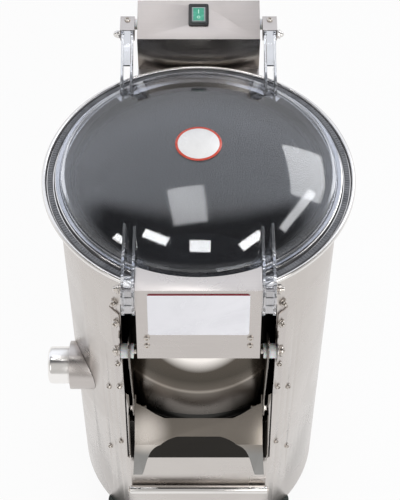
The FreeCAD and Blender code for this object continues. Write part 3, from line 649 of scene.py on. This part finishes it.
def placeHardware(name, hardwareMesh, spots, finish, body, nodeNames=()):
    source = linkPiece(name + ".one", hardwareMesh)
    points = bpy.data.meshes.new(name)
    points.from_pydata([Vector(p) * mm for p, _, _ in spots], [], [])
    turn = points.attributes.new("turn", "FLOAT_VECTOR", "POINT")
    for i, (_, direction, roll) in enumerate(spots):
        matrix = axisTurn(direction) @ Matrix.Rotation(roll, 4, "Z")
        turn.data[i].vector = matrix.to_euler()
    piece = linkPiece(name, points)
    runTree(piece, placerTree, {"Hardware": source, "Size": 1.0, "Finish": finish})
    bpy.data.objects.remove(source)
    smoothMesh(piece.data, 28)
    return settle(piece, body, nodeNames)


# Hardware shapes, all standing on z 0 along +z

def circlePoints(radius, z, count=24, phase=0.0):
    return [(radius * math.cos(phase + 2 * math.pi * i / count),
             radius * math.sin(phase + 2 * math.pi * i / count), z) for i in range(count)]


def hexBody(acrossFlats, height, low=0.0, bothEnds=False):
    corner = acrossFlats / math.sqrt(3)
    chamfer = acrossFlats * 0.06
    start = low + chamfer if bothEnds else low
    points = circlePoints(corner, start, 6) + circlePoints(corner, low + height - chamfer, 6)
    points += circlePoints(acrossFlats * 0.47, low + height)
    if bothEnds:
        points += circlePoints(acrossFlats * 0.47, low)
    return hullMesh("hexBody", points)


def studEnd(radius, low, high):
    return turnedMesh("studEnd", [(0, low), (radius, low), (radius, high - radius * 0.3),
                                  (radius * 0.75, high), (0, high)], 20, closed=False)


def washer(outer, inner, thick, low=0.0):
    return turnedMesh("washer", [(inner, low), (outer - 0.15, low), (outer, low + 0.15),
                                 (outer, low + thick - 0.25), (outer - 0.25, low + thick),
                                 (inner, low + thick)], 32)


def hexBoltMesh(acrossFlats=8.0, height=3.2, stud=2.2):
    return joinMeshes("hexBolt", [washer(acrossFlats * 0.66, 1.0, 0.9),
                                  hexBody(acrossFlats, height, 0.9),
                                  studEnd(stud, 0.9 + height - 0.3, height + 3.2)])


def panScrewMesh(radius=3.8, height=2.4, recess=1.5):
    profile = [(0, height - recess), (radius * 0.42, height - recess), (radius * 0.46, height - 0.1),
               (radius * 0.56, height), (radius * 0.82, height * 0.86), (radius * 0.97, height * 0.5),
               (radius, 0.0), (0, 0.0)]
    return turnedMesh("panScrew", profile, 28, closed=False)


def acornNutMesh(acrossFlats=10.0, flat=4.6, cap=4.4):
    dome = []
    for step in range(7):
        angle = math.radians(90 * step / 6)
        dome.append((cap * math.cos(angle), flat - 0.3 + cap * 1.05 * math.sin(angle)))
    dome[-1] = (0, dome[-1][1])
    return joinMeshes("acornNut", [hexBody(acrossFlats, flat), washer(acrossFlats * 0.62, 1.0, 0.8, -0.6),
                                   turnedMesh("acornCap", [(0, flat - 1.0), (cap, flat - 1.0)] + dome, 28,
                                              closed=False)])


# Lid: a clear dome with a flat flange and four channel-shaped ears

lid = {
    "edgeRadius": 164.0, "edgeHeight": 13.0, "topHeight": 50.0, "wall": 3.0, "steps": 224,
    "frontEar": {"x": 79.9, "halfWidth": 7.7, "rib": 3.4},
    "rearEar": {"x": 92.0, "halfWidth": 7.7, "rib": 3.4},
}
lid["ball"] = ((lid["edgeRadius"] ** 2 + (lid["topHeight"] - lid["edgeHeight"]) ** 2)
               / (2 * (lid["topHeight"] - lid["edgeHeight"])))


def domeHeight(radius, inset=0.0):
    ball = lid["ball"]
    return lid["topHeight"] - ball + math.sqrt((ball - inset) ** 2 - radius ** 2)


def lidOuterProfile():
    arc = [(lid["edgeRadius"] * i / 22, rimTop + domeHeight(lid["edgeRadius"] * i / 22)) for i in range(23)]
    rest = [(165.6, 11.9), (167.0, 10.4), (167.9, 8.2), (168.3, 5.2), (169.2, 3.8), (171, 3.4), (173.6, 3.3),
            (174.3, 3.0), (174.5, 2.3), (174.4, 0.8), (173.9, 0.35)]
    return arc + [(r, rimTop + h) for r, h in rest] + [(0, rimTop + 0.35)]


def lidInnerProfile():
    inner = lid["edgeRadius"] - 3
    arc = [(inner * i / 22, rimTop + domeHeight(inner * i / 22, lid["wall"])) for i in range(23)]
    rest = [(163.6, 8.6), (165.2, 5.8), (166.0, 0.5), (166.0, -12)]
    return arc + [(r, rimTop + h) for r, h in rest] + [(0, rimTop - 12)]


def softenOutline(points, radius, steps=4):
    out = []
    count = len(points)
    for i, p in enumerate(points):
        before = Vector(points[i - 1])
        here = Vector(p)
        after = Vector(points[(i + 1) % count])
        reach = min(radius, (before - here).length * 0.45, (after - here).length * 0.45)
        start = here + (before - here).normalized() * reach
        end = here + (after - here).normalized() * reach
        for k in range(steps + 1):
            t = k / steps
            out.append(((1 - t) ** 2 * start + 2 * t * (1 - t) * here + t * t * end)[:])
    return out


def sidePlate(name, outline, x0, x1, edge=0.5):
    mesh = bpy.data.meshes.new(name)
    work = bmesh.new()
    loops = []
    for x in (x0, x1):
        loops.append([work.verts.new((x * mm, y * mm, (rimTop + h) * mm)) for y, h in outline])
    work.faces.new(loops[0])
    work.faces.new(list(reversed(loops[1])))
    for i in range(len(outline)):
        j = (i + 1) % len(outline)
        work.faces.new((loops[0][j], loops[0][i], loops[1][i], loops[1][j]))
    bmesh.ops.recalc_face_normals(work, faces=work.faces)
    if edge:
        rims = [e for e in work.edges if abs(e.verts[0].co.x - e.verts[1].co.x) < 1e-9]
        bmesh.ops.bevel(work, geom=rims, offset=edge * mm, segments=2, affect="EDGES", profile=0.5)
    work.to_mesh(mesh)
    work.free()
    return mesh


earOutlines = {
    "frontRib": [(-102, 5), (-102, 24.8), (-112, 26.3), (-145, 24.9), (-186, 22), (-197, 20), (-204, 12), (-206, 0),
                 (-206, -15), (-203, -22), (-197, -17), (-184, -11), (-181, 3.6), (-150, 3.6)],
    "frontWeb": [(-180, 22), (-186, 22), (-197, 20), (-204, 12), (-206, 0), (-206, -15), (-203.6, -15),
                 (-203.6, 0), (-201.8, 11), (-195.8, 17.8), (-185.6, 19.6), (-180, 19.6)],
    "rearRib": [(116, 6), (118, 21), (150, 27), (185, 42), (203, 53.5), (226, 53.5), (229, 47),
                (225, 40), (205, 37), (190, 28), (176, 9), (150, 3.6)],
    "rearWeb": [(158, 30.4), (185, 42), (203, 53.5), (226, 53.5), (226, 51), (203.8, 51), (186, 39.6),
                (158, 27.8)],
}


def booleanWith(piece, other, operation):
    modifier = piece.modifiers.new("join", "BOOLEAN")
    modifier.operation = operation
    modifier.solver = "EXACT"
    modifier.object = other
    bakeModifiers(piece)
    bpy.data.objects.remove(other)


def crossCylinder(name, radius, y, h, reach=120, steps=28):
    mesh = turnedMesh(name, [(0, -reach), (radius, -reach), (radius, reach), (0, reach)], steps,
                      closed=False)
    mesh.transform(placeAt(0, y, rimTop + h, (1, 0, 0)))
    return mesh


def buildLid():
    piece = linkPiece("lidShell", turnedMesh("lidShell", lidOuterProfile(), lid["steps"], closed=False))
    for end in ("front", "rear"):
        ear = lid[end + "Ear"]
        rib = softenOutline(earOutlines[end + "Rib"], 2.2)
        web = softenOutline(earOutlines[end + "Web"], 1.0, 2)
        for side in (-1, 1):
            inner = side * (ear["x"] - ear["halfWidth"])
            outer = side * (ear["x"] + ear["halfWidth"])
            parts = [sidePlate("rib", rib, inner, inner + side * ear["rib"]),
                     sidePlate("rib", rib, outer - side * ear["rib"], outer)]
            for mesh in parts:
                booleanWith(piece, linkPiece("rib", mesh), "UNION")
            mesh = sidePlate("web", web, inner + side * (ear["rib"] - 0.4), outer - side * (ear["rib"] - 0.4), 0)
            booleanWith(piece, linkPiece("web", mesh), "UNION")
    core = linkPiece("core", turnedMesh("core", lidInnerProfile(), lid["steps"], closed=False))
    booleanWith(piece, core, "DIFFERENCE")
    for radius, y, h in ((3.05, -189.0, 9.0), (3.05, 220.0, 45.0), (2.6, 203.0, 43.0)):
        booleanWith(piece, linkPiece("drill", crossCylinder("drill", radius, y, h)), "DIFFERENCE")
    giveMaterials(piece.data, clearLidPlastic)
    for polygon in piece.data.polygons:
        polygon.material_index = 0
    smoothMesh(piece.data, 24)
    return settle(piece, "lid", ["clear_lid"])


clearLid = buildLid()
print("lid: dome and four ears,", len(clearLid.data.polygons), "faces")

lidHardware = {"rodEnd": (87.9, -189.0, 9.0), "clipBolt": (101.6, 203.0, 43.0), "clipScrew": (92.0, 217.0, 55.1)}


def pairSpots(spot, roll=0.0, direction=None):
    x, y, h = spot
    return [((side * x, y, rimTop + h), direction or (side, 0, 0), roll) for side in (-1, 1)]


foldedSheet("lid_sticker", "stickerDisc", "lid", stickerPrint, stickerPrint, 0.12, 1)
foldedSheet("ear_clips", "clipSheets", "lid", steel["panel"], steel["edge"], 0.45, 3)
foldedSheet("latch_rod", "latchRod", "lid", steel["plated"], steel["edge"], 0.5, 2)
rodNutMesh = joinMeshes("rodNut", [washer(6.6, 2.9, 1.0), hexBody(10, 4.6, 1.0, True), studEnd(2.95, 5.0, 8.9)])
placeHardware("rodNuts", rodNutMesh, pairSpots(lidHardware["rodEnd"], 0.3), steel["plated"], "lid",
              ["rod_nuts"])
placeHardware("acornNuts", acornNutMesh(), pairSpots(lidHardware["clipBolt"], 0.2), steel["polished"], "lid",
              ["clip_bolts"])
placeHardware("clipScrews", panScrewMesh(4.2, 2.3, 1.2), pairSpots(lidHardware["clipScrew"], 0.0, (0, 0, 1)),
              steel["plated"], "lid", ["clip_screws"])
print("lid hardware: clips, rod and nuts")


# Latch plate with its label and screws

latch = {"lean": math.radians(10.0), "bendY": -196.0, "top": 655.0, "screwsAlong": (74, 86), "screwsX": (-60, 60),
         "screwSeat": 0.05}


def latchPoint(along, off=0.0):
    return (latch["bendY"] - along * math.sin(latch["lean"]) - off * math.cos(latch["lean"]),
            latch["top"] - along * math.cos(latch["lean"]) + off * math.sin(latch["lean"]))


foldedSheet("latch_plate", "latchPlate", "front_plate", steel["panel"], steel["edge"], 0.55, 3)
foldedSheet("label_plate", "labelPlate", "front_plate", labelPrint, labelPrint, 0.2, 2)
foldedSheet("latch_blocks", "magnetBlocks", "front_plate", blackMoulding, blackMoulding, 0.8, 3)
latchOut = (0, -math.cos(latch["lean"]), math.sin(latch["lean"]))
latchScrewSpots = [((x, *latchPoint(along, latch["screwSeat"])), latchOut, 0.0)
                   for x in latch["screwsX"] for along in latch["screwsAlong"]]
placeHardware("latchScrews", panScrewMesh(3.6, 2.0, 1.2), latchScrewSpots, steel["plated"], "front_plate",
              ["latch_screws"])
print("latch plate: label and", len(latchScrewSpots), "screws")


# Casing, rim and the fasteners on the casing

casing = {"radius": 174.0, "roll": 0.4,  # each spot: x, height from the rim, radius of the seat
          "hexSpots": ((101, -77, 174.0), (99.5, -115, 175.8)),
          "panSpots": ((102, -205, 175.8), (102.4, -257, 175.8), (118.4, -278, 174.0), (107.6, -400, 174.0),
                       (124.9, -438, 174.0))}


def wallSpots(places):
    spots = []
    for x, h, seat in places:
        y = -math.sqrt(casing["radius"] ** 2 - x * x)
        for side in (-1, 1):
            outward = Vector((side * x, y, 0)).normalized()
            foot = outward * seat
            spots.append(((foot.x, foot.y, rimTop + h), tuple(outward), casing["roll"] * side))
    return spots


casingShell = foldedSheet("outer_casing", "casingShell", "machine", steel["casing"], steel["edge"],
                          0.4, 2)
boltSpots = wallSpots(casing["hexSpots"])
screwSpots = wallSpots(casing["panSpots"])
placeHardware("casingBolts", hexBoltMesh(8.5, 3.4, 2.4), boltSpots, steel["plated"], "machine",
              ["casing_screws"])
placeHardware("casingPanScrews", panScrewMesh(3.9, 2.6, 1.4), screwSpots, steel["plated"], "machine")
# Inward faces of the casing get near-black steel as painted shade.
paintFaces(casingShell, 2, steel["insidePaintedShade"], lambda c, n: n.x * c.x + n.y * c.y < -1.0)
foldedSheet("edge_brackets", "edgeStrips", "machine", steel["panel"], steel["edge"], 0.3, 2)

rim = {"steps": 256, "ribCount": 300, "ribRadius": 181.5, "ribHeight": -2.2, "ribSize": (5.4, 1.9, 1.5),
       "gritRadius": 168.5, "gritBack": 125.0,
       "profile": ((156.4, 0), (166.5, 0), (174.6, 0.0), (175.4, -0.35), (176.4, -3.0), (177.0, -5.0), (185.6, -5.0),
                   (186.2, -3.8), (186.7, -1.7), (187.5, -0.6), (188.6, -0.05), (189.9, -0.3), (191.1, -1.2),
                   (191.8, -2.6), (191.95, -4.0), (191.5, -5.6), (190.4, -6.9), (188.8, -7.5), (172.3, -7.5),
                   (172.3, -19.6), (171.9, -20), (171.3, -20), (171.0, -19.6), (171.0, -1.5), (156.4, -1.5)),
       "band": ((178.0, -4.95), (184.9, -4.95), (184.6, -2.6), (183.8, -2.2), (179.2, -2.2), (178.3, -2.7))}


def rimTurned(name, profile):
    return linkPiece(name, turnedMesh(name, [(r, rimTop + h) for r, h in profile], rim["steps"]))


rimBead = rimTurned("rimBead", rim["profile"])
giveMaterials(rimBead.data, steel["polished"])
smoothMesh(rimBead.data, 40)
settle(rimBead, "machine", ["rim_ring"])
paintFaces(rimBead, 1, liningGrit, lambda c, n: math.hypot(c.x, c.y) < rim["gritRadius"] and c.y < rim["gritBack"])
rimBand = rimTurned("rimBand", rim["band"])
runTree(rimBand, ribTree, {"Count": rim["ribCount"], "Radius": rim["ribRadius"] * mm,
                           "Height": (rimTop + rim["ribHeight"]) * mm,
                           "Rib Size": tuple(c * mm for c in rim["ribSize"]), "Finish": bandRubber})
smoothMesh(rimBand.data, 40)
settle(rimBand, "machine", ["rim_band"])
print("casing: rim with", rim["ribCount"], "ribs and", len(boltSpots) + len(screwSpots), "screws")


# Door with its levers and guard sheet

door = {"pivot": (98.3, -158.0, -154.0), "pivotRoll": 0.25, "tie": (86.4, -146.0, -300.0), "tieRoll": 0.1}
# The side levers take the darker guard steel as painted shade.
foldedSheet("side_levers", "sideLevers", "door", steel["guard"], steel["edge"], 0.4, 3)
foldedSheet("guard_sheet", "guardSheet", "door", guardSteel, steel["edge"], 0.5, 3)
foldedSheet("door_plate", "doorPlate", "door", doorSteelPaintedReflection, steel["edge"], 0.4, 2)
foldedSheet("inner_bushes", "innerBushes", "door", whiteNylon, whiteNylon, 0.7, 3)
foldedSheet("outer_bushes", "outerBushes", "machine", whiteNylon, whiteNylon, 0.7, 3)
pivotMesh = joinMeshes("pivotNut", [studEnd(3.95, -21.6, -1.0), washer(7.6, 3.9, 1.2), hexBody(13, 5.2, 1.2, True),
                                    studEnd(3.95, 6.0, 8.6)])
placeHardware("pivotNuts", pivotMesh, pairSpots(door["pivot"], door["pivotRoll"]), steel["plated"], "machine",
              ["pivot_bolts"])
tieMesh = joinMeshes("tieBolt", [studEnd(2.95, -17.4, 1.0), hexBody(10, 3.4, 0.2), hexBody(10, 4.6, -10.0, True),
                                 washer(6.2, 2.8, 0.9, -5.2)])
placeHardware("tieBolts", tieMesh, pairSpots(door["tie"], door["tieRoll"]), steel["plated"], "door",
              ["tie_bolts"])
print("door: levers, guard and bushes")


# Chute, spout, feet and what shows at the rear

chute = {"faceY": -177.0, "foldZ": rimTop - 377.0, "half": 92.0, "screw": (95.0, -184.1, -450.0)}


def onSlide(c, n):
    return c.z > chute["foldZ"] and c.y > chute["faceY"] and abs(c.x) < chute["half"] and n.z > 0.1


def onCheek(c, n):
    return c.z > chute["foldZ"] and abs(c.x) > chute["half"] - 2


chuteTray = foldedSheet("chute_tray", "chuteTray", "machine", steel["casing"], steel["edge"], 0.45, 3)
paintFaces(chuteTray, 2, steel["shaded"], onSlide)
# The chute cheeks take the darker guard steel as painted shade.
paintFaces(chuteTray, 3, steel["guard"], onCheek)
foldedSheet("chute_rod", "chuteRod", "machine", steel["polished"], steel["edge"], 0.6, 3)
placeHardware("chuteScrews", panScrewMesh(4.0, 2.8, 1.4), pairSpots(chute["screw"]), steel["plated"], "machine",
              ["chute_screws"])
foldedSheet("drain_spout", "spoutTube", "machine", steel["spout"], steel["spout"], 0.6, 3)
foldedSheet("spout_collar", "spoutCollar", "machine", steel["panel"], steel["edge"], 0.8, 3)
controlBox = foldedSheet("control_box", "controlBox", "machine", steel["boxTop"], steel["boxTop"],
                         1.4, 4)
# Faces turned to the front get the darker box steel as painted shade.
paintFaces(controlBox, 2, steel["boxFrontPaintedShade"], lambda c, n: n.y < -0.9)
foldedSheet("hinge_bushes", "hingeBushes", "machine", whiteNylon, whiteNylon, 0.5, 2)
foldedSheet("hinge_bolts", "hingeBolts", "machine", steel["plated"], steel["edge"], 0.4, 2)
foldedSheet("water_inlet", "waterInlet", "machine", steel["polished"], steel["edge"], 0.5, 2)
foldedSheet("cable_gland", "cableGland", "machine", blackMoulding, blackMoulding, 0.5, 2)
foldedSheet("rubber_feet", "rubberFeet", "machine", footRubber, footRubber, 2.0, 4)
foldedSheet("switch_bezel", "switchBezel", "machine", blackMoulding, blackMoulding, 0.5, 3)
foldedSheet("switch_rocker", "rockerCap", "rocker", rockerPlastic, rockerPlastic, 0.5, 3)

# The inner drum and drum floor take near-black steel as painted shade.
plainFinishes = {
    "inner_drum": steel["insidePaintedShade"], "abrasive_lining": liningGrit, "drum_floor": steel["insidePaintedShade"],
    "base_plate": steel["casing"], "bearing_housing": steel["cast"], "shaft_bearings": steel["polished"],
    "shaft_seal": beltRubber, "drive_belt": beltRubber, "motor": motorPaint, "motor_plate": steel["panel"],
    "foot_bolts": steel["plated"], "terminal_block": blackMoulding, "abrasive_disc": discGrit,
    "disc_nut": steel["polished"], "drive_shaft": steel["polished"], "drum_pulley": steel["cast"],
    "motor_pulley": steel["cast"], "motor_shaft": steel["polished"],
}
for nodeName, material in plainFinishes.items():
    giveMaterials(cadNodes[nodeName].data, material)
    smoothMesh(cadNodes[nodeName].data, 32)
print("inside parts finished:", len(plainFinishes))


# Camera, floor, world and lamps

view = {"place": (0.0, -1.1137, 1.8329), "pitch": 50.325, "focal": 96.0, "sensor": 36.0, "shiftX": 0.0028}
cameraData = bpy.data.cameras.new("camera")
cameraData.lens = view["focal"]
cameraData.sensor_width = view["sensor"]
cameraData.shift_x = view["shiftX"]
camera = bpy.data.objects.new("camera", cameraData)
camera.location = view["place"]
camera.rotation_euler = (math.radians(90.0 - view["pitch"]), 0, 0)
scene.collection.objects.link(camera)
scene.camera = camera

ground = {"half": 8, "paper": (0.86, 0.855, 0.85, 1), "whiteShare": 0.92}


def buildFloor():
    half = ground["half"]
    mesh = bpy.data.meshes.new("floor")
    mesh.from_pydata([(-half, -half, 0), (half, -half, 0), (half, half, 0), (-half, half, 0)], [], [(0, 1, 2, 3)])
    floor = linkPiece("floor", mesh)
    material = bpy.data.materials.new("floorPaper")
    material.use_nodes = True
    tree = material.node_tree
    tree.nodes.clear()
    out = addNode(tree, "ShaderNodeOutputMaterial")
    paper = addNode(tree, "ShaderNodeBsdfDiffuse", Color=ground["paper"])
    white = addNode(tree, "ShaderNodeEmission", Color=(1, 1, 1, 1))
    rays = addNode(tree, "ShaderNodeLightPath")
    seen = mathOf(tree, "MAXIMUM", rays.outputs["Is Camera Ray"], rays.outputs["Is Transmission Ray"])
    seen = mathOf(tree, "MAXIMUM", seen, rays.outputs["Is Glossy Ray"])
    blend = addNode(tree, "ShaderNodeMixShader")
    tree.links.new(mathOf(tree, "MULTIPLY", seen, ground["whiteShare"]), blend.inputs[0])
    linkAll(tree, (paper, 0, blend, 1), (white, 0, blend, 2), (blend, 0, out, "Surface"))
    giveMaterials(mesh, material)


studio = {  # tones of the room, and the reach of each along x, y and z of the direction looked in
    "front": (0.57, 0.561, 0.552), "frontAt": -0.12, "back": (1.067, 1.104, 1.178), "backAt": 0.45,
    "dark": (0.055, 0.055, 0.06), "darkBow": 0.65, "darkTo": 0.25, "darkFrom": 0.08, "highFrom": 0.62,
    "highTo": 0.82, "farTo": -0.5, "farFrom": -0.28, "low": (0.552, 0.552, 0.561), "lowFrom": 0.1,
    "lowTo": 0.55, "behindFrom": 0.6, "behindTo": 0.9, "white": (1, 1, 1), "whiteTo": 0.0, "whiteFrom": -0.03,
}


def buildWorld():
    world = bpy.data.worlds.new("studio")
    world.use_nodes = True
    tree = world.node_tree
    tree.nodes.clear()
    out = addNode(tree, "ShaderNodeOutputWorld")
    room = addNode(tree, "ShaderNodeBackground", Strength=1.0)
    place = addNode(tree, "ShaderNodeTexCoord")
    x, y, z = splitOf(tree, place.outputs["Generated"])
    tone = mixTones(tree, shareOf(tree, y, studio["frontAt"], studio["backAt"]), studio["front"], studio["back"])
    bow = mathOf(tree, "MULTIPLY_ADD", mathOf(tree, "MULTIPLY", x, x), -studio["darkBow"], y)
    dark = mathOf(tree, "MULTIPLY", shareOf(tree, bow, studio["darkTo"], studio["darkFrom"]),
                  shareOf(tree, z, studio["highFrom"], studio["highTo"]))
    dark = mathOf(tree, "MULTIPLY", dark, shareOf(tree, y, studio["farTo"], studio["farFrom"]))
    tone = mixTones(tree, dark, tone, studio["dark"])
    low = mathOf(tree, "MULTIPLY", shareOf(tree, z, studio["lowTo"], studio["lowFrom"]),
                 shareOf(tree, y, studio["behindFrom"], studio["behindTo"]))
    tone = mixTones(tree, low, tone, studio["low"])
    tone = mixTones(tree, shareOf(tree, z, studio["whiteTo"], studio["whiteFrom"]), tone, studio["white"])
    tree.links.new(tone, room.inputs["Color"])
    tree.links.new(room.outputs[0], out.inputs["Surface"])
    scene.world = world


softboxAway = 1.9  # metres from the lid
softboxes = {  # direction seen from the lid, foot on the lid, long side, length, width, radiance
    "overhead": ((0.01, -0.045, 0.999), (0.0016, -0.1375, 0.6645), (1, -0.02, 0), 0.28, 0.17, 8.0),
    "left": ((-0.27, 0.037, 0.962), (-0.0504, -0.1246, 0.6656), (0.16, -0.09, 0), 0.36, 0.12, 9.0),
    "right": ((0.33, 0.024, 0.944), (0.0601, -0.1276, 0.663), (0.14, 0.13, 0), 0.36, 0.12, 9.0),
    "leftEdge": ((-0.483, 0.063, 0.874), (-0.0906, -0.124, 0.6578), (0.1, -0.1, 0), 0.22, 0.10, 9.0),
    "panel": ((-0.064, 0.255, 0.962), (-0.0123, -0.086, 0.68), (1, 0.12, 0), 0.46, 0.58, 2.6),
    "panelRight": ((0.56, 0.57, 0.59), (0.118, -0.024, 0.669), (0.12, -0.32, 0.2), 0.84, 0.46, 3.0),
    "strip": ((0.569, 0.31, 0.761), (0.1163, -0.0821, 0.6625), (0.12, 0.354, -0.227), 0.84, 0.10, 4.0),
}
fillLamps = {  # place, direction it shines away from, long side, length, width, radiance
    "rightFill": ((1.7, -2.5, 1.9), (1.7, -2.5, 1.5), (1, 0, 0), 2.4, 1.6, 2.6),
    "leftFill": ((-1.9, -2.3, 1.9), (-1.9, -2.3, 1.5), (1, 0, 0), 2.0, 1.6, 0.8),
}


def addLamp(name, place, away, along, length, width, radiance):
    data = bpy.data.lights.new(name, "AREA")
    data.shape = "RECTANGLE"
    data.size = length
    data.size_y = width
    data.energy = radiance * math.pi * length * width
    back = Vector(away).normalized()
    side = (Vector(along) - Vector(along).dot(back) * back).normalized()
    turn = Matrix((side, back.cross(side), back)).transposed()
    lamp = bpy.data.objects.new(name, data)
    lamp.matrix_world = Matrix.Translation(place) @ turn.to_4x4()
    scene.collection.objects.link(lamp)


buildFloor()
buildWorld()
for name, (direction, foot, *shape) in softboxes.items():
    addLamp(name, Vector(foot) + Vector(direction).normalized() * softboxAway, direction, *shape)
for name, lamp in fillLamps.items():
    addLamp(name, *lamp)
scene.view_settings.view_transform = "Standard"
print("camera, floor and lamps set")
